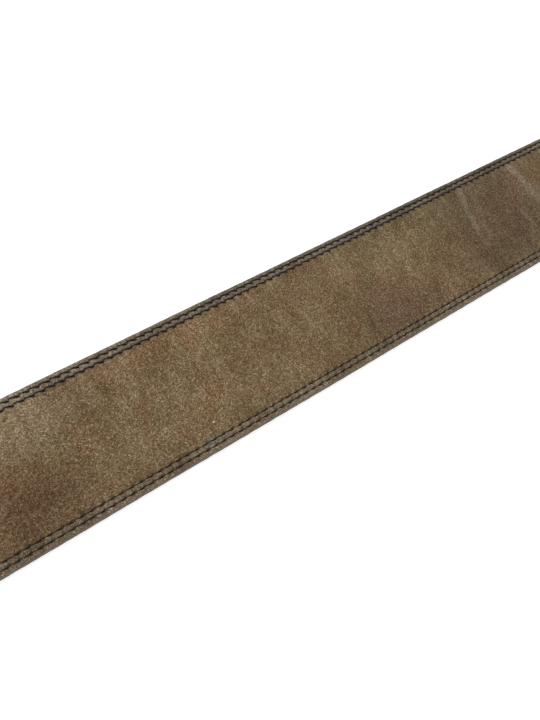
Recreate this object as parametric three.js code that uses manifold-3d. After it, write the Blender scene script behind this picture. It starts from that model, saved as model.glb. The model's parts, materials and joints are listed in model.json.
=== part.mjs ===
// A heavy leather weightlifting belt lying flat on its back, outer face up. Millimetres, +Z up.
// The strap runs along X, with the buckle at its -X end and the rounded tip at its +X end.
// The origin is on the surface it lies on, under the middle of the whole belt.
import * as THREE from 'three';
import { mergeVertices } from 'three/addons/utils/BufferGeometryUtils.js';
import Module from 'manifold-3d';

const wasm = await Module();
wasm.setup();

// Strap
const strapWidth = 100;
const strapThickness = 10;
const edgeRound = 1.6;
const tipLength = 48;

// Row of punched holes
const holeDiameter = 8;
const holePitch = 25;
const holeCount = 10;
const barToFirstHole = 722;
const lastHoleToTip = 55;

// Folded end that holds the buckle
const foldSeam = 0.3;
const seamEdgeRound = 0.5;
const eyeRampLength = 26;
const turnBackLength = 84;
const featherLength = 14;
const featherThickness = 1.4;
const slotWidth = 10;
const slotBehindBar = 17;

// Buckle
const wireDiameter = 7;
const frameReach = 50;
const heelBend = 5;
const toeBend = 10;
const prongDiameter = 6;
const prongTipDiameter = 4.4;
const prongOverhang = 2;
const prongTipDip = 0.8;
const knuckleDiameter = 10.6;
const knuckleWidth = 8;

// Clearances between the metal and the leather, and between prong and frame
const barClearance = 0.3;
const sideClearance = 0.8;
const prongClearance = 0.3;

// How finely round stretches are divided
const edgeSteps = 3;
const eyeSteps = 16;
const rampSteps = 8;
const tipSteps = 18;
const bendSteps = 5;
const wireSides = 14;
const holeSides = 28;

// Sizes that follow from the ones above
const plyThickness = (strapThickness - foldSeam) / 2;
const wireRadius = wireDiameter / 2;
const eyeOuterRadius = wireRadius + barClearance + plyThickness;
const barToTip = barToFirstHole + (holeCount - 1) * holePitch + lastHoleToTip;
const frameDrop = Math.asin((eyeOuterRadius - wireRadius) / frameReach);
const prongRest = wireRadius + prongClearance + prongDiameter / 2;
const prongReach = frameReach + wireRadius + prongOverhang;
const prongTipRadius = prongTipDiameter / 4;
const prongTipTop = prongRest - prongTipDip + prongTipRadius;
const barToProngTip = prongReach * Math.cos(frameDrop) + prongTipTop * Math.sin(frameDrop);
const middleFromBar = (barToTip - barToProngTip) / 2;

// Joins a list of closed loops, each with the same number of points, into one closed surface.
// The points of a loop pair up from its two ends, so a row of such pairs closes each end.
function loft(loops, closed = false) {
  const count = loops[0].length;
  const positions = loops.flat().flatMap((point) => point.toArray());
  const triangles = [];
  const addQuad = (a, b, c, d) => triangles.push([a, b, c], [a, c, d]);
  const spans = closed ? loops.length : loops.length - 1;
  for (let row = 0; row < spans; row++) {
    const here = row * count;
    const next = ((row + 1) % loops.length) * count;
    for (let i = 0; i < count; i++) {
      const j = (i + 1) % count;
      addQuad(here + i, next + i, next + j, here + j);
    }
  }
  if (!closed) {
    const last = (loops.length - 1) * count;
    for (let i = 0; i < count / 2 - 1; i++) {
      const pair = count - 1 - i;
      addQuad(i, i + 1, pair - 1, pair);
      addQuad(last + i, last + pair, last + pair - 1, last + i + 1);
    }
  }
  const geometry = new THREE.BufferGeometry();
  geometry.setAttribute('position', new THREE.Float32BufferAttribute(positions, 3));
  geometry.setIndex(triangles.flat());
  return geometry;
}

// Turns a three.js geometry into a manifold solid.
function solid(geometry) {
  geometry.deleteAttribute('normal');
  geometry.deleteAttribute('uv');
  const merged = mergeVertices(geometry, 1e-4);
  const triVerts = [];
  for (let i = 0; i < merged.index.count; i += 3) {
    const [a, b, c] = [0, 1, 2].map((corner) => merged.index.getX(i + corner));
    if (a !== b && b !== c && c !== a) triVerts.push(a, b, c);
  }
  return new wasm.Manifold(new wasm.Mesh({
    numProp: 3,
    vertProperties: merged.attributes.position.array,
    triVerts: Uint32Array.from(triVerts),
  }));
}

// Turns a manifold solid back into a geometry for a mesh.
function geometryOf(manifold) {
  const { vertProperties, triVerts, numProp } = manifold.getMesh();
  const geometry = new THREE.BufferGeometry();
  geometry.setAttribute('position', new THREE.BufferAttribute(vertProperties, numProp));
  geometry.setIndex(new THREE.BufferAttribute(triVerts, 1));
  geometry.computeVertexNormals();
  return geometry;
}

// A place along the strap: a point on its outer face, the way to the tip, and the outline there.
// edgeAlong and edgeAcross are how far rounding the edge moves a point along and across the strap.
function station(x, z, heading, options = {}) {
  return {
    face: new THREE.Vector3(x, 0, z),
    along: new THREE.Vector3(Math.cos(heading), 0, Math.sin(heading)),
    outward: new THREE.Vector3(-Math.sin(heading), 0, Math.cos(heading)),
    thickness: plyThickness,
    innerRound: seamEdgeRound,
    halfWidth: strapWidth / 2,
    edgeAlong: 0,
    edgeAcross: 1,
    ...options,
  };
}

// The loop of points round the strap at a station: down one edge and back up the other.
function strapSection(place) {
  const outerRound = Math.min(edgeRound, place.thickness * 0.4);
  const innerRound = Math.min(place.innerRound, place.thickness * 0.4);
  const edge = [];
  for (let i = 0; i <= edgeSteps; i++) {
    const turn = (i / edgeSteps) * (Math.PI / 2);
    edge.push([outerRound * (1 - Math.sin(turn)), outerRound * (1 - Math.cos(turn))]);
  }
  for (let i = edgeSteps; i >= 0; i--) {
    const turn = (i / edgeSteps) * (Math.PI / 2);
    edge.push([innerRound * (1 - Math.sin(turn)), place.thickness - innerRound * (1 - Math.cos(turn))]);
  }
  const point = ([inset, depth], side) => place.face.clone()
    .addScaledVector(place.along, -inset * place.edgeAlong)
    .addScaledVector(place.outward, -depth)
    .setY(side * (place.halfWidth - inset * place.edgeAcross));
  return [
    ...edge.map((level) => point(level, 1)),
    ...edge.map((level) => point(level, -1)).reverse(),
  ];
}

// The end turned back under the strap, from its feathered edge to the bottom of the eye.
function turnedBackStations() {
  return [
    station(turnBackLength, 0, Math.PI, { thickness: featherThickness, edgeAlong: -1 }),
    station(turnBackLength - featherLength, 0, Math.PI),
    station(eyeRampLength, 0, Math.PI),
  ];
}

// The half turn round the buckle's bar, from the bottom of the eye to its top.
function eyeStations() {
  return Array.from({ length: eyeSteps + 1 }, (_, i) => {
    const turn = (i / eyeSteps) * Math.PI;
    const x = -eyeOuterRadius * Math.sin(turn);
    const z = eyeOuterRadius * (1 - Math.cos(turn));
    return station(x, z, Math.PI - turn);
  });
}

// The outer ply coming down from the top of the eye to the level of the strap.
function rampStations() {
  const drop = 2 * eyeOuterRadius - strapThickness;
  return Array.from({ length: rampSteps }, (_, i) => {
    const share = (i + 1) / rampSteps;
    const x = eyeRampLength * share;
    const z = strapThickness + drop * (1 + Math.cos(Math.PI * share)) / 2;
    const slope = -drop * Math.PI * Math.sin(Math.PI * share) / (2 * eyeRampLength);
    return station(x, z, Math.atan(slope));
  });
}

// The strap at its full thickness, from where the turned-back end stops to the start of the tip.
function fullStations() {
  const full = { thickness: strapThickness, innerRound: edgeRound };
  return [
    station(turnBackLength - featherLength, strapThickness, 0),
    station(turnBackLength + foldSeam, strapThickness, 0, {
      thickness: strapThickness - featherThickness - foldSeam,
    }),
    station(turnBackLength + 2 * foldSeam, strapThickness, 0, full),
    station(barToFirstHole, strapThickness, 0, full),
  ];
}

// The tip, whose outline is half an ellipse.
function tipStations() {
  return Array.from({ length: tipSteps + 1 }, (_, i) => {
    const turn = (i / tipSteps) * (Math.PI / 2);
    const normal = new THREE.Vector2(Math.sin(turn) / tipLength, Math.cos(turn) / (strapWidth / 2));
    normal.normalize();
    return station(barToTip - tipLength + tipLength * Math.sin(turn), strapThickness, 0, {
      thickness: strapThickness,
      innerRound: edgeRound,
      halfWidth: (strapWidth / 2) * Math.cos(turn),
      edgeAlong: normal.x,
      edgeAcross: normal.y,
    });
  });
}

// An upright cylinder that cuts one hole through the strap.
function holeCutter(x) {
  const cutter = new THREE.CylinderGeometry(holeDiameter / 2, holeDiameter / 2, 3 * strapThickness, holeSides);
  cutter.rotateX(Math.PI / 2);
  cutter.translate(x, 0, strapThickness / 2);
  return solid(cutter);
}

// An upright cutter that opens the eye for the prong, with a round end behind the bar.
function slotCutter() {
  const front = -2 * eyeOuterRadius;
  const back = slotBehindBar - slotWidth / 2;
  const outline = new THREE.Shape();
  outline.moveTo(front, -slotWidth / 2);
  outline.lineTo(back, -slotWidth / 2);
  outline.absarc(back, 0, slotWidth / 2, -Math.PI / 2, Math.PI / 2, false);
  outline.lineTo(front, slotWidth / 2);
  outline.closePath();
  const cutter = new THREE.ExtrudeGeometry(outline, {
    depth: 4 * eyeOuterRadius,
    bevelEnabled: false,
    curveSegments: holeSides / 2,
  });
  cutter.translate(0, 0, -eyeOuterRadius);
  return solid(cutter);
}

// One thick strap of leather, folded round the buckle's bar and turned back under itself.
function makeStrap() {
  const places = [
    ...turnedBackStations(),
    ...eyeStations(),
    ...rampStations(),
    ...fullStations(),
    ...tipStations(),
  ];
  let strap = solid(loft(places.map(strapSection))).subtract(slotCutter());
  for (let i = 0; i < holeCount; i++) {
    strap = strap.subtract(holeCutter(barToFirstHole + i * holePitch));
  }
  return geometryOf(strap);
}

// A round section of metal rod, whose points go from its top down one side and back up the other.
function rodSection(centre, across, up, radius) {
  return Array.from({ length: wireSides }, (_, i) => {
    const angle = ((i + 0.5) / wireSides) * 2 * Math.PI;
    return centre.clone()
      .addScaledVector(across, radius * Math.sin(angle))
      .addScaledVector(up, radius * Math.cos(angle));
  });
}

// The frame: one ring of round rod, with tight bends beside the strap and wide ones at the toe.
function frameRing() {
  const halfLength = strapWidth / 2 + sideClearance + heelBend;
  const up = new THREE.Vector3(0, 0, 1);
  const bends = [
    { x: -heelBend, y: halfLength - heelBend, radius: heelBend, start: 0 },
    { x: toeBend - frameReach, y: halfLength - toeBend, radius: toeBend, start: 1 },
    { x: toeBend - frameReach, y: toeBend - halfLength, radius: toeBend, start: 2 },
    { x: -heelBend, y: heelBend - halfLength, radius: heelBend, start: 3 },
  ];
  const loops = bends.flatMap((bend) => Array.from({ length: bendSteps + 1 }, (_, i) => {
    const angle = (bend.start + i / bendSteps) * (Math.PI / 2);
    const inward = new THREE.Vector3(-Math.cos(angle), -Math.sin(angle), 0);
    const centre = new THREE.Vector3(bend.x, bend.y, 0).addScaledVector(inward, -bend.radius);
    return rodSection(centre, inward, up, wireRadius);
  }));
  return solid(loft(loops, true));
}

// The prong: a tapered rod from the bar that lies over the frame's toe.
function prong() {
  const across = new THREE.Vector3(0, -1, 0);
  const up = new THREE.Vector3(0, 0, 1);
  const rows = [
    { out: 0, height: 0, radius: prongDiameter / 2 },
    { out: 0.45 * frameReach, height: 0.72 * prongRest, radius: prongDiameter / 2 },
    { out: 0.8 * frameReach, height: prongRest, radius: prongDiameter / 2 },
    { out: frameReach, height: prongRest, radius: prongDiameter / 2 },
    { out: prongReach - prongTipRadius, height: prongRest - 0.7 * prongTipDip, radius: prongTipDiameter / 2 },
    { out: prongReach, height: prongRest - prongTipDip, radius: prongTipRadius },
  ];
  return solid(loft(rows.map((row) => rodSection(
    new THREE.Vector3(-row.out, 0, row.height), across, up, row.radius,
  ))));
}

// The knuckle by which the prong holds the bar.
function knuckle() {
  return solid(new THREE.CylinderGeometry(knuckleDiameter / 2, knuckleDiameter / 2, knuckleWidth, 2 * wireSides));
}

// One plain metal piece: frame, knuckle and prong.
function makeBuckle() {
  return geometryOf(frameRing().add(knuckle()).add(prong()));
}

const leather = new THREE.MeshStandardMaterial({ name: 'suede', color: 0x76624a, roughness: 0.95, metalness: 0 });
const steel = new THREE.MeshStandardMaterial({ name: 'steel', color: 0xb6b8ba, roughness: 0.35, metalness: 1 });

const strap = new THREE.Mesh(makeStrap(), leather);
strap.name = 'strap';

const buckle = new THREE.Mesh(makeBuckle(), steel);
buckle.name = 'buckle';
buckle.position.z = eyeOuterRadius;
buckle.rotation.y = -frameDrop;

const belt = new THREE.Group();
belt.position.x = -middleFromBar;
belt.add(strap, buckle);

export default belt;
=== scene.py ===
import json
import math

import bmesh
import bpy
import numpy as np
from mathutils import Matrix, Vector


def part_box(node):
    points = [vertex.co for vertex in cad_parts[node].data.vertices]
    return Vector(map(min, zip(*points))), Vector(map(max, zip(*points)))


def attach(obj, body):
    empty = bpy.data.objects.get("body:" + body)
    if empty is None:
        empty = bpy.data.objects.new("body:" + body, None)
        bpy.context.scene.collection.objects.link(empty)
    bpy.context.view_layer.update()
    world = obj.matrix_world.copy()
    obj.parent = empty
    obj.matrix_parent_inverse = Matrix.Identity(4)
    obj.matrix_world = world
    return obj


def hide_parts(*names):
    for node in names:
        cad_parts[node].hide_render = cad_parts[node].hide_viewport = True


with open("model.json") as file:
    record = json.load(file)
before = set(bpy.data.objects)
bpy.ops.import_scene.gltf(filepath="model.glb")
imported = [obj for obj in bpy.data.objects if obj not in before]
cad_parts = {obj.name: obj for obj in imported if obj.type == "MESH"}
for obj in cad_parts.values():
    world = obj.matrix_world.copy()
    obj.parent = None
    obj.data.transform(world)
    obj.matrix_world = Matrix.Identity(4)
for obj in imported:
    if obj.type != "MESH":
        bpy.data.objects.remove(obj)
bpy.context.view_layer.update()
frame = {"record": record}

MM = 0.001

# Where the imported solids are
STRAP_LOW, STRAP_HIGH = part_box("strap")
BUCKLE_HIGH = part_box("buckle")[1]
HALF_WIDTH = STRAP_HIGH[1]
EYE_RADIUS = STRAP_HIGH[2] / 2
BAR_X = STRAP_LOW[0] + EYE_RADIUS
STRAP_LENGTH = STRAP_HIGH[0] - BAR_X

# Strap, as in the part's source
THICKNESS = 10 * MM
SEAM = 0.3 * MM
PLY = (THICKNESS - SEAM) / 2
EDGE_ROUND = 1.6 * MM
SEAM_ROUND = 0.5 * MM
TIP_LENGTH = 48 * MM
RAMP_LENGTH = 26 * MM
TURN_BACK = 84 * MM
FEATHER_LENGTH = 14 * MM
FEATHER_THICKNESS = 1.4 * MM
HOLE_RADIUS = 4 * MM
SLOT_RADIUS = 5 * MM
SLOT_END = 12 * MM
EYE_LENGTH = math.pi * EYE_RADIUS
TIP_START = STRAP_LENGTH - TIP_LENGTH

# Buckle, as in the part's source
ROD_RADIUS = 3.5 * MM
FRAME_REACH = 50 * MM
HEEL_BEND = 5 * MM
TOE_BEND = 10 * MM
PRONG_RADIUS = 3 * MM
PRONG_TIP_RADIUS = 2.2 * MM
PRONG_REACH = FRAME_REACH + ROD_RADIUS + 2 * MM
PRONG_REST = ROD_RADIUS + 0.3 * MM + PRONG_RADIUS
PRONG_TIP_DIP = 0.8 * MM
KNUCKLE_RADIUS = 5.3 * MM
KNUCKLE_WIDTH = 8 * MM
KNUCKLE_ROUND = 1.2 * MM
FRAME_DROP = math.asin((EYE_RADIUS - ROD_RADIUS) / FRAME_REACH)

# Stitching: two rows along each edge, and two across at each end of the fold
STITCH = 7.7 * MM
OUTER_ROW = 3.35 * MM
INNER_ROW = 7.5 * MM
INNER_LAG = 1.6 * MM
FOLD_ROWS = (28 * MM, 32.15 * MM)
TURN_BACK_ROWS = (73.85 * MM, 78 * MM)
THREAD_RADIUS = 0.5 * MM
FAR_SLANT = 0.58 * MM
NEAR_SLANT = 0.2 * MM
OTHER_SLANT = 0.4 * MM
NEAR_PULL = 0.2 * MM
HOLE_PULL = 0.9 * MM
STITCH_SINK = 0.35 * MM
GROOVE_WIDTH = 0.75 * MM
UNDERSIDE_SINK = 0.85 * MM
UNDERSIDE_LIFT = 0.77 * MM

# One stitch from hole to hole: how far along it is, how far aside and how high its middle lies, and
# how thick the thread is there
STITCH_ALONG = (0, 0.05, 0.12, 0.22, 0.34, 0.46, 0.58, 0.69, 0.79, 0.88, 0.95, 1)
STITCH_ASIDE = (0, -0.72, -0.95, -0.9, -0.75, -0.5, -0.1, 0.35, 0.75, 1.0, 0.9, 0)
STITCH_HEIGHT = [
    height * MM for height in (-1.3, -0.9, -0.5, -0.38, -0.32, -0.2, -0.05, 0, 0, -0.1, -0.5, -1.3)]
STITCH_SWELL = (0.7, 0.62, 0.66, 0.72, 0.8, 0.92, 1.04, 1.12, 1.15, 1.12, 1.0, 0.7)
STRAND_DEPTH = 0.13
STRAND_TWIST = 0.95
TIGHT_THINNING = 0.4

# How much the needle holes, the slant of the stitches and their height vary
HOLE_STRAY = 0.18 * MM
SLANT_STRAY = 0.12
HEIGHT_STRAY = 0.04 * MM

# How much shade is painted round the threads, standing in for their shadow in the grooves: darker by the
# far rows, wider and shifted at the holes
FAR_SHADE = 1.7
NEAR_SHADE = 0.8
SHADE_WIDTH = 0.72 * MM
HOLE_SHADE_WIDTH = 0.5 * MM
HOLE_SHADE_SHIFT = 0.45 * MM

# How the leather stands out beside the stitches. Each ridge has an inset from the edge, a height, a
# width, and the share of it that is lost beside a needle hole
FACE_SWAY = 0.05 * MM
EDGE_SWELL = 0.3 * MM
EDGE_SLOW_SWAY = 0.07 * MM
EDGE_QUICK_SWAY = 0.05 * MM
RIDGES = (
    ((OUTER_ROW + INNER_ROW) / 2, 0.22 * MM, 1.2 * MM, 0.5),
    (1.9 * MM, 0.16 * MM, 0.8 * MM, 0.5),
    (9.4 * MM, 0.10 * MM, 1.1 * MM, 0.3))

# Openings: how round and how dished their rims are, and how far off the plain grid starts
HOLE_RIM = 0.7 * MM
SLOT_RIM = 0.6 * MM
RIM_DISH = 0.25 * MM
HOLE_MARGIN = 10 * MM
SLOT_MARGIN = 9 * MM

# The strap's vertices that lie closer together than this are welded
WELD_DISTANCE = 0.01 * MM

# Uneven wear and painted light, in mm: each patch's place from the bar and across the strap, its
# length, width and angle. These patches also say how much lighter they are: the lighter ones at the
# buckle end's far side paint a sheen, and the darker ones towards the tip paint the light falling off
WEAR_AND_LIGHT_PATCHES = (
    (182, 34, 120, 62, 0, 1.4), (168, -22, 130, 62, 0, 0.78), (317, -16, 70, 44, 20, 1.17),
    (262, 36, 70, 26, 0, 1.2), (294, 38, 50, 18, 0, 1.15), (330, 28, 70, 46, 0, 1.2),
    (260, 48, 230, 11, 0, 1.36), (467, 14, 60, 40, 0, 1.12), (537, 18, 90, 40, 0, 1.12),
    (557, 30, 36, 12, 90, 1.38), (500, -30, 150, 54, 0, 0.70), (492, -3, 90, 40, 0, 0.84),
    (607, 34, 90, 44, 0, 0.92), (622, -27, 110, 38, 0, 0.78), (680, 2, 240, 150, 0, 0.64),
    (716, 20, 60, 70, 0, 1.3), (600, 50, 420, 11, 0, 0.78), (345, 38, 170, 24, 0, 1.16),
    (676, 10, 64, 60, 0, 1.1), (532, -26, 3, 3, 0, 1.6), (305.4, -31.8, 3.5, 3, 0, 1.8))
GREENER_PATCHES = ((572, 30, 260, 60, 0),)
REDDER_PATCHES = ((160, -16, 110, 70, 0), (510, -20, 120, 60, 0), (660, 2, 80, 60, 0))
DUSTY_PATCHES = ((190, 30, 130, 64, 0),)
SMUDGES = ((295, -43.4, 20, 10, 12),)
SCUFFS = (
    (305.4, -31.8, 3.5, 3, 0), (631, 33, 40, 11, 76), (625.5, 12, 56, 8, 78), (704.5, 34, 30, 12, 106),
    (708.2, 12, 48, 13, 94), (683, -11, 36, 6, 102))

# The photograph's view of the strap
VIEW_FROM_BAR = 372 * MM
VIEW_OFF_CENTRE = -12.55 * MM
VIEW_DISTANCE = 729.6 * MM
VIEW_FORWARD = Vector((0.53011, 0.15956, -0.83278))
VIEW_UP = Vector((0.40700, 0.81371, 0.41499))
VIEW_LENS = 50

# Studio: an even pale world, and one broad sun that stands towards SUN_SIDE
WORLD_STRENGTH = 0.65
SUN_STRENGTH = 1.8
SUN_SPREAD = math.radians(70)
SUN_SIDE = Vector((-0.45, 0.05, 1.0))
FLOOR_HALF = 40.0
FLOOR_GLOW = 0.3


# Shape of the strap

def face_path(q):
    """Point and outward normal of the outer face in the XZ plane, for places q along the strap.

    From the bar to the tip q is the distance along X. Below zero it goes round the eye and then
    back along the turned-back end."""
    q = np.asarray(q, float)
    ramp_share = np.clip(q / RAMP_LENGTH, 0, 1)
    drop = 2 * EYE_RADIUS - THICKNESS
    turn = np.clip(-q / EYE_RADIUS, 0, math.pi)
    below = q < -EYE_LENGTH
    x = np.where(below, -(q + EYE_LENGTH), np.where(q < 0, -EYE_RADIUS * np.sin(turn), q))
    ramp_z = THICKNESS + drop * (1 + np.cos(math.pi * ramp_share)) / 2
    z = np.where(q < 0, EYE_RADIUS * (1 + np.cos(turn)), ramp_z)
    slope = -drop * math.pi * np.sin(math.pi * ramp_share) / (2 * RAMP_LENGTH)
    size = np.hypot(slope, 1)
    normal_x = np.where(q < 0, -np.sin(turn), -slope / size)
    normal_z = np.where(q < 0, np.cos(turn), 1 / size)
    return x, z, normal_x, normal_z


def place(q, y, depth):
    """Points of the strap at places q, y across it and depth below its outer face."""
    x, z, normal_x, normal_z = face_path(q)
    return np.stack([BAR_X + x - normal_x * depth, y + 0 * x, z - normal_z * depth], -1)


def thickness(q):
    """The leather's thickness at places q, feathered where the turned-back end stops."""
    step = TURN_BACK + SEAM
    at = [-EYE_LENGTH - TURN_BACK, -EYE_LENGTH - TURN_BACK + FEATHER_LENGTH,
          TURN_BACK - FEATHER_LENGTH, step, step + SEAM]
    size = [FEATHER_THICKNESS, PLY, PLY, THICKNESS - FEATHER_THICKNESS - SEAM, THICKNESS]
    return np.interp(q, at, size)


def outline():
    """Places along the strap with the half outline there: q, half width and outward normal."""
    spacing = STITCH / 6
    marks = [-EYE_LENGTH - TURN_BACK, -EYE_LENGTH - TURN_BACK + FEATHER_LENGTH, -EYE_LENGTH, 0,
             RAMP_LENGTH, TURN_BACK - FEATHER_LENGTH, TURN_BACK + SEAM, TURN_BACK + 2 * SEAM, TIP_START]
    for row in FOLD_ROWS + TURN_BACK_ROWS:
        for step in (-1.4, -0.7, 0, 0.7, 1.4):
            marks += [row + step * MM, -EYE_LENGTH - row + step * MM]
    marks.sort()
    straight = [marks[0]]
    for start, end in zip(marks, marks[1:]):
        count = max(1, round((end - start) / spacing))
        straight.extend(np.linspace(start, end, count + 1)[1:])
    turns = np.linspace(0, math.pi / 2, 56)[1:]
    normal = np.stack([np.sin(turns) / TIP_LENGTH, np.cos(turns) / HALF_WIDTH])
    normal /= np.linalg.norm(normal, axis=0)
    q = np.concatenate([straight, TIP_START + TIP_LENGTH * np.sin(turns)])
    half = np.concatenate([np.full(len(straight), HALF_WIDTH), HALF_WIDTH * np.cos(turns)])
    normal_q = np.concatenate([np.zeros(len(straight)), normal[0]])
    normal_y = np.concatenate([np.ones(len(straight)), normal[1]])
    return q, half, normal_q, normal_y


def row_path(inset, count=400):
    """The tip's stretch of a stitched row at an inset from the outline, far side first."""
    turns = np.linspace(-math.pi / 2, math.pi / 2, count)
    normal = np.stack([np.cos(turns) / TIP_LENGTH, -np.sin(turns) / HALF_WIDTH], -1)
    normal /= np.linalg.norm(normal, axis=1)[:, None]
    edge = np.stack([TIP_START + TIP_LENGTH * np.cos(turns), -HALF_WIDTH * np.sin(turns)], -1)
    return edge - inset * normal


def lengths_along(points):
    """The distance along a line of points up to each of them."""
    steps = np.linalg.norm(np.diff(points, axis=0), axis=1)
    return np.concatenate([[0], np.cumsum(steps)])


def hole_marks(start, lag, seed):
    """Places of an edge row's needle holes along the straight, from its corner to the tip."""
    count = round((TIP_START - FOLD_ROWS[0]) / STITCH)
    marks = np.linspace(FOLD_ROWS[0], TIP_START, count + 1) + lag
    marks += np.random.default_rng(seed).normal(0, HOLE_STRAY, count + 1)
    inner = marks[(marks > start + STITCH / 2) & (marks < TIP_START - STITCH / 3)]
    return np.concatenate([[start], inner, [TIP_START]])


EDGE_ROWS = (
    (OUTER_ROW, hole_marks(FOLD_ROWS[0], 0, 3)),
    (INNER_ROW, hole_marks(FOLD_ROWS[1], INNER_LAG, 4)))


def row_phase(q, inset, marks):
    """How many stitches along an edge row each place is."""
    path = row_path(inset)
    along = lengths_along(path)
    tip_pitch = along[-1] / round(along[-1] / STITCH)
    order = np.argsort(path[:len(path) // 2, 0])
    tip_along = np.interp(q, path[order, 0], along[order])
    return np.where(q > TIP_START, tip_along / tip_pitch, np.interp(q, marks, np.arange(len(marks))))


def bump_at(value, centre, width):
    """A smooth bump of height 1 round a centre."""
    return np.exp(-((value - centre) / width) ** 2)


def sewing(q, inset, side, sink):
    """How deep the edge rows press the face in, how near their holes are, and how much shade is painted
    along the stitches.
    """
    groove = np.zeros_like(q)
    pull = np.zeros_like(q)
    shade = np.zeros_like(q)
    slant = np.where(q > TIP_START, OTHER_SLANT, FAR_SLANT if side > 0 else -NEAR_SLANT)
    for row, marks in EDGE_ROWS:
        phase = row_phase(q, row, marks)
        near_hole = (0.5 + 0.5 * np.cos(2 * math.pi * phase)) ** 2
        thread_at = row + slant * np.interp(phase % 1, STITCH_ALONG, STITCH_ASIDE)
        depth = sink + (HOLE_PULL - STITCH_SINK) * near_hole
        width = GROOVE_WIDTH * (1 + 0.35 * near_hole)
        groove = np.maximum(groove, depth * bump_at(inset, thread_at, width))
        # Painted shade round the thread, heaviest where it is thick and at the needle holes
        heavy = np.interp(phase % 1, STITCH_ALONG, STITCH_SWELL)
        dark = np.maximum((FAR_SHADE if side > 0 else NEAR_SHADE) * heavy - 0.75, near_hole)
        shaded_at = thread_at if side > 0 else thread_at + HOLE_SHADE_SHIFT * near_hole
        shade_width = SHADE_WIDTH + HOLE_SHADE_WIDTH * near_hole
        shade = np.maximum(shade, dark * bump_at(inset, shaded_at, shade_width))
        pull = np.maximum(pull, near_hole)
    return groove, pull, shade


def relief(q, y, inset, side, resting):
    """How far the face stands out, and how much shade is painted along its stitches.

    Grooves lie under the stitches, and the suede is puffed up beside them. Where the face rests on
    the floor it is flat and its grooves are deeper, so that the stitches lie within them."""
    x, z = face_path(q)[:2]
    sewn = np.clip((x - FOLD_ROWS[0]) / MM + 1, 0, 1)
    sink = np.where(resting, UNDERSIDE_SINK, STITCH_SINK)
    groove, pull, shade = sewing(q, inset, side, sink)
    groove *= sewn
    shade *= sewn
    # Grooves and painted shade along the rows across the strap
    for row in FOLD_ROWS + TURN_BACK_ROWS:
        across = bump_at(x, row, GROOVE_WIDTH) * (inset > OUTER_ROW)
        groove = np.maximum(groove, sink * across)
        shade = np.maximum(shade, 0.7 * across)
    puff = sum(height * bump_at(inset, centre, width) * (1 - lost * pull)
               for centre, height, width, lost in RIDGES)
    middle = np.clip(inset / (10 * MM), 0, 1)
    sway = np.sin(x / (61 * MM) + y / (37 * MM)) + np.sin(x / (23 * MM) - y / (17 * MM) + 2)
    off_floor = np.where(resting, 0, np.clip(z / (4 * MM), 0, 1))
    return off_floor * (sewn * puff + FACE_SWAY * middle * sway) - groove, shade


def edge_sway(q, side):
    """How far the cut edge swells and strays outwards between its stitched row and the air."""
    slow = np.sin(q / (47 * MM) + side) + 0.7 * np.sin(q / (19 * MM) + 2 * side)
    quick = np.sin(q / (3.1 * MM) + 3 * side) + np.sin(q / (1.9 * MM))
    return EDGE_SWELL + EDGE_SLOW_SWAY * slow + EDGE_QUICK_SWAY * quick


def strap_columns():
    """The points round one cross-section: side, face, inset, share of the way in, place on the edge."""
    rounding = [(1 - math.sin(a), 1 - math.cos(a)) for a in np.radians([0, 22.5, 45, 67.5, 90])]
    band = [inset * MM for inset in (9.4, 8.4, 7.95, 7.5, 7.05, 6.5, 5.4, 4.3, 3.8, 3.35, 2.9, 2.3)]
    inner_half = HALF_WIDTH - band[0]
    shares = [1, 1 - 5 * MM / inner_half, 1 - 10 * MM / inner_half, 0.5, 0.25]
    half = []
    for face in ("outer", "inner"):
        rows = [(face, band[0], share, None) for share in shares]
        rows += [(face, inset, 0, None) for inset in band]
        rows += [(face, None, 0, bend) for bend in rounding]
        if face == "outer":
            half += rows + [("wall", 0, 0, share) for share in (1 / 3, 2 / 3)]
        else:
            half += rows[::-1]
    near = half[-2:0:-1]
    return [(1, *row) for row in half] + [(-1, *row) for row in near]


def strap_points(columns):
    """The strap's grid: places along it, points, insets, how far down the edge, and how much shade is
    painted along the stitches.
    """
    q0, half, normal_q, normal_y = outline()
    thick = thickness(q0)
    outer_round = np.minimum(EDGE_ROUND, 0.4 * thick)
    full = thick >= THICKNESS - 1e-6
    inner_round = np.minimum(np.where(full, EDGE_ROUND, SEAM_ROUND), 0.4 * thick)
    points, insets, walls, shades = [], [], [], []
    for side, face, inset, share, extra in columns:
        radius = outer_round if face == "outer" else inner_round
        wall = np.zeros_like(q0)
        shade = np.zeros_like(q0)
        if face == "wall":
            inset_here = np.zeros_like(q0)
            depth = outer_round + (thick - outer_round - inner_round) * extra
            wall = wall + 1
        elif extra is not None:
            inset_here = radius * extra[0]
            depth = radius * extra[1]
            wall = wall + extra[1]
        else:
            inset_here = np.full_like(q0, inset)
            depth = np.zeros_like(q0)
        q = q0 - inset_here * normal_q
        y = (half - inset_here * normal_y) * (1 - share)
        inset_true = inset_here + share * np.maximum(half - inset_here, 0)
        if face != "wall":
            resting = (face == "inner") | (q < -EYE_LENGTH)
            height, shade = relief(q, y, inset_true, side, resting)
            shown = 1 if face == "outer" else full
            depth = depth - shown * height
            shade = shade * np.where(face_path(q)[0] > FOLD_ROWS[0] - 2 * MM, 1, 0)
        if face == "inner":
            depth = thick - depth
        y = y + normal_y * edge_sway(q0, side) * np.clip(1 - inset_true / (3 * MM), 0, 1)
        points.append(place(q, side * y, depth))
        insets.append(inset_true)
        walls.append(wall)
        shades.append(shade)
    return q0, *(np.stack(part, 1) for part in (points, insets, walls, shades))


def rounded_target(q, y, start, end, radius):
    """The nearest way from a point of a patch's rim to a slot's outline, as a centre and direction."""
    centre = np.clip(q, start, end)
    away = np.stack([q - centre, y], -1)
    return centre, away / np.linalg.norm(away, axis=1)[:, None] * radius


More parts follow.
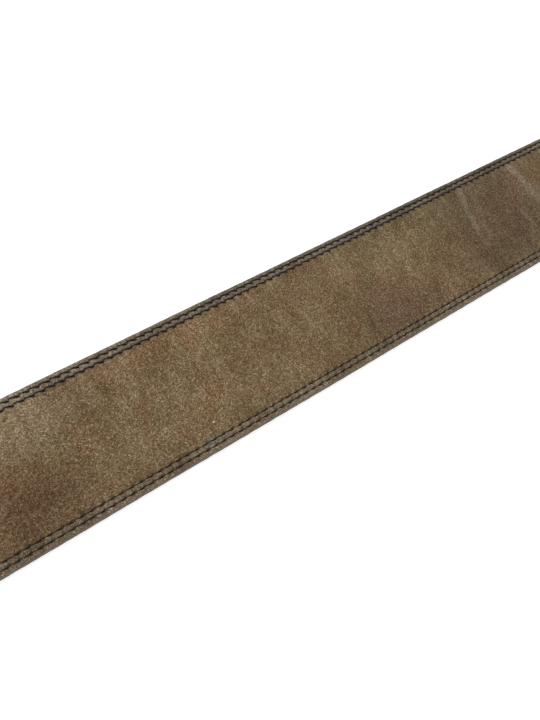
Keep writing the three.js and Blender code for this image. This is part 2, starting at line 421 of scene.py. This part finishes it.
class StrapMesh:
    """Collects the strap's vertices and faces, its holes included."""

    def __init__(self):
        self.columns = strap_columns()
        self.q, points, insets, walls, shades = strap_points(self.columns)
        self.count = len(self.columns)
        self.points = list(points.reshape(-1, 3))
        self.insets = list(insets.ravel())
        self.walls = list(walls.ravel())
        self.shades = list(shades.ravel())
        self.rims = [0.0] * len(self.insets)
        self.faces = []
        self.patches = []

    def index(self, row, column):
        """The grid's vertex in a cross-section and a column."""
        return row * self.count + column % self.count

    def middle_columns(self, face):
        """The columns across the middle of a face, from the far side to the near side."""
        centre = 0 if face == "outer" else self.count // 2
        order = (2, 1, 0, -1, -2) if face == "outer" else (-2, -1, 0, 1, 2)
        return [(centre + step) % self.count for step in order]

    def open_hole(self, start, end, radius, rim, margin):
        """Leaves out the cells round a hole and fills the ring between them and its outline."""
        first = int(np.argmin(abs(self.q - (start - margin))))
        last = int(np.argmin(abs(self.q - (end + margin))))
        self.patches.append((first, last))
        deepest = {}
        for face in ("outer", "inner"):
            columns = self.middle_columns(face)
            rim_keys = [(row, columns[0]) for row in range(first, last)]
            rim_keys += [(last, column) for column in columns[:-1]]
            rim_keys += [(row, columns[-1]) for row in range(last, first, -1)]
            rim_keys += [(first, column) for column in columns[:0:-1]]
            loop = [self.index(*key) for key in rim_keys]
            q = self.q[[row for row, _ in rim_keys]]
            y = np.array([self.points[i][1] for i in loop])
            deepest[face] = self.hole_rings(face, loop, q, y, start, end, radius, rim)
        self.join(deepest["outer"], deepest["inner"])

    def hole_rings(self, face, loop, q, y, start, end, radius, rim):
        """The rings from a patch's rim down to the middle of the hole's wall, on one face."""
        thick = thickness(q)
        sign = 1 if face == "outer" else -1
        base = 0 if face == "outer" else 1
        centre, reach = rounded_target(q, y, start, end, 1.0)
        stages = [(None, share, 0) for share in (0.3, 0.55, 0.78)]
        turns = np.radians([0, 30, 60, 90])
        stages += [(rim * (1 - math.sin(a)), 1, rim * (1 - math.cos(a))) for a in turns]
        for grow, share, drop in stages:
            edge = radius + (rim if grow is None else grow)
            ring_q = q + share * (centre + reach[:, 0] * edge - q)
            ring_y = y + share * (reach[:, 1] * edge - y)
            dish = RIM_DISH * share ** 4
            depth = base * thickness(ring_q) + sign * (drop + dish)
            loop = self.add_ring(loop, place(ring_q, ring_y, depth), wall=float(drop > 0), rim=share ** 3)
        depth = thick * (0.45 if face == "outer" else 0.55)
        return self.add_ring(loop, place(ring_q, ring_y, depth), wall=1.0, rim=1.0)

    def add_ring(self, loop, points, wall, rim):
        """Adds a ring of vertices and joins it to the loop outside it."""
        start = len(self.points)
        self.points.extend(points)
        self.insets.extend([HALF_WIDTH] * len(points))
        self.walls.extend([wall] * len(points))
        self.shades.extend([0.0] * len(points))
        self.rims.extend([rim] * len(points))
        ring = list(range(start, len(self.points)))
        self.join(loop, ring)
        return ring

    def join(self, loop, ring):
        """The faces between two loops of vertices."""
        for i, corner in enumerate(loop):
            following = (i + 1) % len(loop)
            self.faces.append((corner, loop[following], ring[following], ring[i]))

    def add_grid(self):
        """The faces between neighbouring cross-sections, apart from those in the patches."""
        middle = set()
        for face in ("outer", "inner"):
            columns = self.middle_columns(face)
            for pair in zip(columns, columns[1:]):
                low, high = sorted(pair)
                middle.add(low if high - low == 1 else high)
        for row in range(len(self.q) - 1):
            cut = any(first <= row < last for first, last in self.patches)
            for column in range(self.count):
                if cut and column in middle:
                    continue
                self.faces.append((self.index(row, column), self.index(row + 1, column),
                                   self.index(row + 1, column + 1), self.index(row, column + 1)))

    def close_feather(self):
        """The narrow face at the end of the turned-back ply."""
        bottom = self.count // 2
        for column in range(bottom // 2):
            corners = (column, column + 1, bottom - column - 1, bottom - column)
            for turn in (1, -1):
                self.faces.append(tuple(self.index(0, turn * corner) for corner in corners))


def new_object(name, points, faces, attributes=None):
    """A smooth mesh object with its float attributes."""
    mesh = bpy.data.meshes.new(name)
    mesh.from_pydata([tuple(point) for point in points], [], faces)
    for key, values in (attributes or {}).items():
        mesh.attributes.new(key, "FLOAT", "POINT").data.foreach_set("value", np.asarray(values, np.float32))
    made = bpy.data.objects.new(name, mesh)
    bpy.context.collection.objects.link(made)
    return made


def finish_mesh(made, merge=0.0):
    """Welds what coincides, turns the faces outwards and shades them smooth."""
    work = bmesh.new()
    work.from_mesh(made.data)
    if merge:
        bmesh.ops.remove_doubles(work, verts=work.verts, dist=merge)
    bmesh.ops.recalc_face_normals(work, faces=work.faces)
    for face in work.faces:
        face.smooth = True
    work.to_mesh(made.data)
    work.free()


def tube_faces(count, sides, closed=False):
    """The faces of a tube with a number of rings of vertices, capped unless it closes on itself."""
    faces = []
    for i in range(count if closed else count - 1):
        here, there = i * sides, (i + 1) % count * sides
        for k in range(sides):
            following = (k + 1) % sides
            faces.append((here + k, here + following, there + following, there + k))
    if not closed:
        faces.append(tuple(range(sides)))
        faces.append(tuple(range(count * sides - 1, (count - 1) * sides - 1, -1)))
    return faces


def join_parts(parts):
    """Several lots of points and faces as one."""
    points, faces = [], []
    for more_points, more_faces in parts:
        base = len(points)
        points.extend(more_points)
        faces.extend(tuple(base + corner for corner in face) for face in more_faces)
    return points, faces


def make_strap():
    """The whole strap, with its holes and its slot."""
    grid = StrapMesh()
    for opening in frame["record"]["physics"]["openings"]:
        if opening["name"].startswith("prong_hole"):
            low, high = opening["box_m"]
            centre = (low[0] + high[0]) / 2 - BAR_X
            grid.open_hole(centre, centre, HOLE_RADIUS, HOLE_RIM, HOLE_MARGIN)
    grid.open_hole(-EYE_LENGTH - SLOT_END, SLOT_END, SLOT_RADIUS, SLOT_RIM, SLOT_MARGIN)
    grid.add_grid()
    grid.close_feather()
    # The last attribute carries the painted shade along the stitches
    made = new_object("suede_strap", grid.points, grid.faces, {
        "inset": np.array(grid.insets) / MM, "wall": grid.walls, "rim": grid.rims, "seam_shade": grid.shades})
    finish_mesh(made, merge=WELD_DISTANCE)
    return made


# Stitches

def thread_rope(holes, slant, face_z, up, rng):
    """The middle line of a thread that dips into each hole and slants across the leather between."""
    line = []
    heads = np.diff(holes, axis=0)
    for (x, y), (run_x, run_y) in zip(holes, heads):
        aside = Vector((run_y, -run_x, 0)).normalized()
        amount = slant * rng.normal(1, SLANT_STRAY)
        lift = rng.normal(0, HEIGHT_STRAY)
        for along, sideways, height in zip(STITCH_ALONG[:-1], STITCH_ASIDE, STITCH_HEIGHT):
            rise = height + (lift if along else 0)
            straight = Vector((x + run_x * along, y + run_y * along, face_z + up * rise))
            line.append(straight + aside * amount * sideways)
    line.append(Vector((holes[-1][0], holes[-1][1], face_z + up * STITCH_HEIGHT[-1])))
    return line


def thread_tube(line, thread_radius, sides=9):
    """A twisted three-strand tube round a line."""
    points = []
    for i, centre in enumerate(line):
        tangent = (line[min(i + 1, len(line) - 1)] - line[max(i - 1, 0)]).normalized()
        across = tangent.cross(Vector((0, 0, 1))).normalized()
        over = across.cross(tangent)
        swell = thread_radius * STITCH_SWELL[i % (len(STITCH_SWELL) - 1)]
        for k in range(sides):
            angle = 2 * math.pi * k / sides
            radius = swell * (1 + STRAND_DEPTH * math.cos(3 * angle + STRAND_TWIST * i))
            points.append(centre + across * (radius * math.cos(angle)) + over * (radius * math.sin(angle)))
    return points, tube_faces(len(line), sides)


def even_holes(points):
    """Needle holes spaced evenly along a line of points."""
    along = lengths_along(points)
    places = np.linspace(0, along[-1], round(along[-1] / STITCH) + 1)
    return np.stack([np.interp(places, along, points[:, axis]) for axis in (0, 1)], -1)


def stitch_rows():
    """Every row of stitches: its holes in the strap's plane, their slant and how tight they are."""
    rows = []
    for (inset, marks), across in zip(EDGE_ROWS, FOLD_ROWS):
        y = HALF_WIDTH - inset
        rows.append((np.stack([marks, np.full(len(marks), y)], -1), FAR_SLANT, 0))
        rows.append((np.stack([marks, np.full(len(marks), -y)], -1), NEAR_SLANT, NEAR_PULL))
        rows.append((even_holes(row_path(inset)), OTHER_SLANT, 0))
        rows.append((even_holes(np.array([[across, y], [across, -y]])), OTHER_SLANT, 0))
    y = HALF_WIDTH - INNER_ROW - 2 * MM
    for across in TURN_BACK_ROWS:
        rows.append((even_holes(np.array([[across, y], [across, -y]])), OTHER_SLANT, 0))
    return rows


def make_thread(name, face_z, up):
    """All the stitches that show on one face of the strap. Tight ones lie deeper and are thinner."""
    rng = np.random.default_rng(7)
    ropes = []
    for holes, slant, tight in stitch_rows():
        line = thread_rope(holes + (BAR_X, 0), slant, face_z - up * tight, up, rng)
        ropes.append(thread_tube(line, THREAD_RADIUS - TIGHT_THINNING * tight))
    made = new_object(name, *join_parts(ropes))
    finish_mesh(made)
    return made


# Buckle

def buckle_point(x, y, z):
    """A point of the buckle, given from the bar's middle with the frame level."""
    cos, sin = math.cos(FRAME_DROP), math.sin(FRAME_DROP)
    return (BAR_X + x * cos - z * sin, y, EYE_RADIUS + x * sin + z * cos)


def rod(centres, radii, sides=32, closed=False):
    """A round rod through points of the frame's plane or of the prong's."""
    count = len(centres)
    points = []
    for i, centre in enumerate(centres):
        before = centres[(i - 1) % count if closed else max(i - 1, 0)]
        after = centres[(i + 1) % count if closed else min(i + 1, count - 1)]
        tangent = (after - before).normalized()
        level = Vector((0, 0, 1)) if closed else Vector((0, 1, 0))
        across = tangent.cross(level).normalized()
        over = across.cross(tangent)
        for k in range(sides):
            angle = 2 * math.pi * k / sides
            outwards = math.cos(angle) * across + math.sin(angle) * over
            points.append(buckle_point(*(centre + radii[i] * outwards)))
    return points, tube_faces(count, sides, closed)


def frame_line():
    """The middle of the frame's rod: tight bends beside the strap and wide ones at the toe."""
    half = BUCKLE_HIGH[1] - ROD_RADIUS
    bends = [(-HEEL_BEND, half - HEEL_BEND, HEEL_BEND), (TOE_BEND - FRAME_REACH, half - TOE_BEND, TOE_BEND),
             (TOE_BEND - FRAME_REACH, TOE_BEND - half, TOE_BEND), (-HEEL_BEND, HEEL_BEND - half, HEEL_BEND)]
    line = []
    for quarter, (x, y, bend) in enumerate(bends):
        for angle in np.linspace(quarter, quarter + 1, 13) * math.pi / 2:
            line.append(Vector((x + bend * math.cos(angle), y + bend * math.sin(angle), 0)))
    return line


def prong_line():
    """The prong's middle line and radius, from the bar to its tip."""
    out = [0, 0.2 * FRAME_REACH, 0.45 * FRAME_REACH, 0.8 * FRAME_REACH, FRAME_REACH, PRONG_REACH]
    height = [0, 0.3 * PRONG_REST, 0.72 * PRONG_REST, PRONG_REST, PRONG_REST, PRONG_REST - PRONG_TIP_DIP]
    steps = np.linspace(0, PRONG_REACH, 48)
    rise = np.interp(steps, out, height)
    rise = np.convolve(np.pad(rise, 4, mode="edge"), np.full(9, 1 / 9), mode="valid")
    radius = np.interp(steps, [0, FRAME_REACH, PRONG_REACH], [PRONG_RADIUS, PRONG_RADIUS, PRONG_TIP_RADIUS])
    left = np.clip((PRONG_REACH - steps) / PRONG_TIP_RADIUS, 0, 1)
    radius *= np.sqrt(np.maximum(1 - (1 - left) ** 2, 0.04))
    return [Vector((-x, 0, z)) for x, z in zip(steps, rise)], radius.tolist()


def knuckle(sides=40):
    """The knuckle that the prong turns on: a short fat ring on the bar, with rounded ends."""
    half = KNUCKLE_WIDTH / 2
    bend = KNUCKLE_ROUND
    turns = np.radians(np.linspace(0, 90, 7))
    end = [(-half + bend * (1 - math.cos(a)), KNUCKLE_RADIUS - bend * (1 - math.sin(a))) for a in turns]
    rings = end + [(-y, radius) for y, radius in reversed(end)]
    points = []
    for y, radius in rings:
        for k in range(sides):
            angle = 2 * math.pi * k / sides
            points.append(buckle_point(radius * math.cos(angle), y, radius * math.sin(angle)))
    return points, tube_faces(len(rings), sides)


def make_buckle():
    """The frame, the prong and its knuckle in one piece."""
    line = frame_line()
    ring = rod(line, [ROD_RADIUS] * len(line), closed=True)
    made = new_object("steel_buckle", *join_parts([ring, rod(*prong_line()), knuckle()]))
    finish_mesh(made)
    return made


# Materials

class Nodes:
    """Builds one material's node tree in short calls. Sizes of patterns are in metres."""

    def __init__(self, name):
        self.material = bpy.data.materials.new(name)
        self.material.use_nodes = True
        self.tree = self.material.node_tree
        self.shader = self.tree.nodes["Principled BSDF"]
        self.position = self.node("TexCoord").outputs["Object"]

    def node(self, kind, inputs=None, **settings):
        made = self.tree.nodes.new("ShaderNode" + kind)
        for key, value in settings.items():
            setattr(made, key, value)
        for key, value in (inputs or {}).items():
            if isinstance(value, bpy.types.NodeSocket):
                self.tree.links.new(value, made.inputs[key])
            else:
                made.inputs[key].default_value = value
        return made

    def noise(self, size, detail=2.0, roughness=0.5, vector=None, distortion=0.0):
        return self.node("TexNoise", {
            "Vector": vector or self.position, "Scale": 1 / size, "Detail": detail,
            "Roughness": roughness, "Distortion": distortion}).outputs[0]

    def remap(self, value, low, high, to_low=0.0, to_high=1.0, smooth=True):
        return self.node("MapRange", {0: value, 1: low, 2: high, 3: to_low, 4: to_high},
                         interpolation_type="SMOOTHSTEP" if smooth else "LINEAR").outputs[0]

    def math(self, operation, a, b=0.0):
        return self.node("Math", {0: a, 1: b}, operation=operation).outputs[0]

    def mix(self, factor, a, b, blend="MIX"):
        return self.node("Mix", {0: factor, 6: a, 7: b}, data_type="RGBA", blend_type=blend).outputs[2]

    def scale(self, colour, value):
        """A colour made lighter or darker by a value round 1."""
        if not isinstance(colour, bpy.types.NodeSocket):
            colour = colour[:3]
        return self.node("VectorMath", {0: colour, "Scale": value}, operation="SCALE").outputs[0]

    def fibres(self, angle, length=1.7 * MM, width=0.55 * MM):
        """Short fibres that lie one way: a noise stretched along an angle from the strap's length."""
        turned = self.node("Mapping", {
            "Vector": self.position, "Rotation": (0, 0, math.radians(angle)),
            "Scale": (length, width, width)}, vector_type="TEXTURE").outputs[0]
        return self.node("TexNoise", {"Vector": turned, "Scale": 1.0, "Detail": 2.0}).outputs[0]

    def attribute(self, name):
        return self.node("Attribute", attribute_name=name).outputs["Fac"]

    def patch(self, along, aside, length, width, angle):
        """An oval patch of the strap, given in mm from the bar: 1 in its middle and 0 at its rim."""
        local = self.node("Mapping", {
            "Vector": self.position, "Location": (BAR_X + along * MM, aside * MM, 0),
            "Rotation": (0, 0, math.radians(angle)), "Scale": (length * MM / 2, width * MM / 2, 1)},
            vector_type="TEXTURE").outputs[0]
        flat = self.node("VectorMath", {0: local, 1: (1, 1, 0)}, operation="MULTIPLY").outputs[0]
        return self.node("TexGradient", {"Vector": flat}, gradient_type="SPHERICAL").outputs[1]

    def set(self, **values):
        """Sets the shader's own sockets, by name with spaces as underscores."""
        for key, value in values.items():
            socket = self.shader.inputs[key.replace("_", " ")]
            if isinstance(value, bpy.types.NodeSocket):
                self.tree.links.new(value, socket)
            else:
                socket.default_value = value

    def bumps(self, *layers):
        """Bump layers, each a height and the distance in metres that it stands for."""
        normal = None
        for height, distance in layers:
            inputs = {"Strength": 1.0, "Distance": distance, "Height": height}
            if normal:
                inputs["Normal"] = normal
            normal = self.node("Bump", inputs).outputs[0]
        self.set(Normal=normal)


OLIVE = (0.1358, 0.0926, 0.0430, 1)
RUSSET = (0.1470, 0.0868, 0.0452, 1)
GREENISH = (0.1335, 0.0940, 0.0465, 1)
REDDISH = (0.1480, 0.0845, 0.0440, 1)
DUSTY = (0.132, 0.0930, 0.0550, 1)
BLUISH = (0.118, 0.116, 0.102, 1)
RUBBED = (0.218, 0.168, 0.111, 1)
GREY = (0.136, 0.107, 0.075, 1)
PALE = (0.435, 0.355, 0.245, 1)
EDGE = (0.100, 0.083, 0.064, 1)
# Grime and painted shade for the foot of the cut edges
GRIME_AND_SHADE = (0.024, 0.030, 0.032, 1)
# Painted shade along the stitches, nearly black
PAINTED_SEAM_SHADE = (0.012, 0.0085, 0.006, 1)
WAX = (0.0075, 0.0055, 0.0050, 1)
NICKEL = (0.56, 0.55, 0.53, 1)
FLOOR_PALE = (0.93, 0.93, 0.93, 1)


def suede_hue(made, cloud):
    """The suede's clouds of olive and russet, and its patches of other hues."""
    tint = made.remap(made.noise(14 * MM, 3, 0.7), 0.38, 0.62)
    colour = made.mix(tint, OLIVE, RUSSET)
    colour = made.mix(made.remap(cloud, 1.0, 0.85, 0, 0.45), colour, RUSSET)
    colour = made.mix(made.remap(cloud, 1.0, 1.15, 0, 0.45), colour, GREENISH)
    for hue, patches in ((GREENISH, GREENER_PATCHES), (REDDISH, REDDER_PATCHES), (DUSTY, DUSTY_PATCHES),
                         (BLUISH, SMUDGES), (RUBBED, SCUFFS)):
        for patch in patches:
            colour = made.mix(made.remap(made.patch(*patch), 0, 0.7, 0, 0.8), colour, hue)
    return colour


def suede_light(made, light):
    """How light the suede is: its clouds, lighter or darker in the patches of wear and of painted sheen and
    falloff.
    """
    # Wear, and a painted sheen and falloff of the light
    for *patch, gain in WEAR_AND_LIGHT_PATCHES:
        light = made.math("MULTIPLY", light, made.remap(made.patch(*patch), 0, 0.8, 1, gain))
    return light


def suede_edges(made, colour, height):
    """The suede's colour with grey cut edges, grime and painted shade at their foot, worn hole rims and
    painted shade along the stitches.
    """
    wall = made.attribute("wall")
    colour = made.mix(made.math("MULTIPLY", wall, 0.75), colour, EDGE)
    # Darker towards the wall's foot: grime, and painted shade where the edge meets the floor
    grime_and_shade = made.math("MULTIPLY", wall, made.remap(height, 7 * MM, 3 * MM, 0, 0.9))
    colour = made.mix(grime_and_shade, colour, GRIME_AND_SHADE)
    colour = made.mix(made.math("MULTIPLY", made.attribute("rim"), 0.5), colour, EDGE)
    # Painted shade along the stitches, darkest at the needle holes
    return made.mix(made.math("MULTIPLY", made.attribute("seam_shade"), 0.92), colour, PAINTED_SEAM_SHADE)


def suede_material():
    """Brown suede: blotches, nap and pale fibres, greyer along its edges, with painted highlights along its
    margins, painted shade along its stitches and patches of painted light.
    """
    made = Nodes("suede")
    across = made.node("VectorMath", {0: made.position, 1: (1, 0.6, 1)}, operation="MULTIPLY").outputs[0]
    cloud = made.remap(made.noise(19 * MM, 4, 0.7, vector=across), 0.3, 0.7, 0.72, 1.28, smooth=False)
    colour = suede_hue(made, cloud)
    _, y, height = made.node("SeparateXYZ", {0: made.position}).outputs
    margin = made.remap(made.attribute("inset"), 8.8, 7.2)
    colour = made.mix(made.math("MULTIPLY", margin, made.remap(y, 0, 40 * MM, 0.6, 0.95)), colour, GREY)
    light = suede_light(made, cloud)
    nap = made.mix(made.remap(made.noise(5 * MM), 0.42, 0.58), made.fibres(28), made.fibres(-47))
    grain = made.noise(1.5 * MM, 2, 0.8, distortion=0.4)
    depth = made.math("MULTIPLY", made.remap(nap, 0.32, 0.75, 0.6, 1.6, smooth=False),
                      made.remap(grain, 0.42, 0.75, 0.64, 1.8, smooth=False))
    fade = made.remap(made.math("MULTIPLY", depth, cloud), 0.4, 1.7, 1.18, 0.85, smooth=False)
    colour = made.node("HueSaturation", {
        "Color": made.scale(colour, depth), "Saturation": fade, "Value": 1.0}).outputs[0]
    pale = made.math("MAXIMUM", made.fibres(52, 1.4 * MM, 0.68 * MM), made.fibres(-20, 1.4 * MM, 0.68 * MM))
    fleck_and_highlight = made.remap(pale, 0.61, 0.76, 0.0, 1.0)
    # More pale flecks along the margins: a painted highlight on the puffed suede there
    fleck_and_highlight = made.math("MULTIPLY", fleck_and_highlight, made.math("ADD", made.math("MULTIPLY", margin, 0.4), 1.0))
    colour = suede_edges(made, made.scale(made.mix(fleck_and_highlight, colour, PALE), light), height)
    made.set(Base_Color=colour, Roughness=0.92, Sheen_Weight=0.06, Sheen_Roughness=0.5,
             Specular_IOR_Level=0.15)
    made.bumps((made.noise(7 * MM, 3), 0.25 * MM), (grain, 0.5 * MM), (nap, 0.4 * MM),
               (made.noise(0.35 * MM, 2), 0.10 * MM))
    return made.material


def thread_material():
    """Waxed thread, nearly black."""
    made = Nodes("thread")
    shade = made.remap(made.noise(3 * MM, 2), 0.3, 0.7, 0.7, 1.5)
    made.set(Base_Color=made.scale(WAX, shade), Roughness=0.7, Specular_IOR_Level=0.12)
    made.bumps((made.noise(0.3 * MM, 2), 0.05 * MM))
    return made.material


def steel_material():
    """Nickel-plated steel, finely scratched."""
    made = Nodes("steel")
    brushed = made.node("VectorMath", {0: made.position, 1: (1, 0.08, 1)}, operation="MULTIPLY").outputs[0]
    scratch = made.noise(0.5 * MM, 3, 0.6, vector=brushed)
    smudge = made.noise(9 * MM, 3)
    made.set(Base_Color=made.scale(NICKEL, made.remap(smudge, 0.3, 0.7, 0.88, 1.05)),
             Metallic=1.0, Roughness=made.remap(smudge, 0.3, 0.7, 0.22, 0.36))
    made.bumps((scratch, 0.02 * MM))
    return made.material


def floor_material():
    """A plain pale floor, which glows a little to look as white as the photograph's ground."""
    made = Nodes("floor")
    soft = made.remap(made.noise(0.6, 2), 0.3, 0.7, 0.985, 1.0)
    made.set(Base_Color=made.scale(FLOOR_PALE, soft), Roughness=0.9, Specular_IOR_Level=0.1,
             Emission_Color=(1, 1, 1, 1), Emission_Strength=FLOOR_GLOW)
    return made.material


def dress(made, material, slot, *replaced):
    """Gives a piece its material and body, and hides the imported parts that it replaces; its slot is not
    used.
    """
    made.data.materials.append(material)
    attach(made, "root")
    for node in replaced:
        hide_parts(node)


# Stage

def make_floor():
    """The floor that the belt lies on."""
    corners = [(x * FLOOR_HALF, y * FLOOR_HALF, 0) for x, y in ((-1, -1), (1, -1), (1, 1), (-1, 1))]
    made = new_object("floor", corners, [(0, 1, 2, 3)])
    made.data.materials.append(floor_material())


def make_world():
    """An even pale world all round."""
    world = bpy.data.worlds.new("studio")
    world.use_nodes = True
    background = world.node_tree.nodes["Background"]
    background.inputs["Color"].default_value = (1, 1, 1, 1)
    background.inputs["Strength"].default_value = WORLD_STRENGTH
    bpy.context.scene.world = world


def make_sun(aim):
    """One broad, soft sun."""
    data = bpy.data.lights.new("key", "SUN")
    data.energy = SUN_STRENGTH
    data.angle = SUN_SPREAD
    made = bpy.data.objects.new("key", data)
    made.location = aim + SUN_SIDE
    made.rotation_euler = (aim - made.location).to_track_quat("-Z", "Y").to_euler()
    bpy.context.collection.objects.link(made)


def make_camera(aim):
    """The camera at the photograph's view of the strap."""
    data = bpy.data.cameras.new("camera")
    data.lens = VIEW_LENS
    data.sensor_width = 36
    data.sensor_fit = "AUTO"
    data.clip_start = 0.01
    made = bpy.data.objects.new("camera", data)
    right = VIEW_FORWARD.cross(VIEW_UP).normalized()
    up = right.cross(VIEW_FORWARD).normalized()
    turn = Matrix((right, up, -VIEW_FORWARD.normalized())).transposed()
    made.matrix_world = Matrix.Translation(aim - VIEW_FORWARD.normalized() * VIEW_DISTANCE) @ turn.to_4x4()
    bpy.context.collection.objects.link(made)
    bpy.context.scene.camera = made


aim = Vector((BAR_X + VIEW_FROM_BAR, VIEW_OFF_CENTRE, THICKNESS))
make_camera(aim)
make_world()
make_sun(aim)
make_floor()
bpy.context.scene.view_settings.view_transform = "Standard"

dress(make_strap(), suede_material(), "suede", "strap")
thread = thread_material()
dress(make_thread("thread_outer_face", THICKNESS, 1), thread, "thread")
dress(make_thread("thread_inner_face", UNDERSIDE_LIFT, -1), thread, "thread")
dress(make_buckle(), steel_material(), "steel", "buckle")
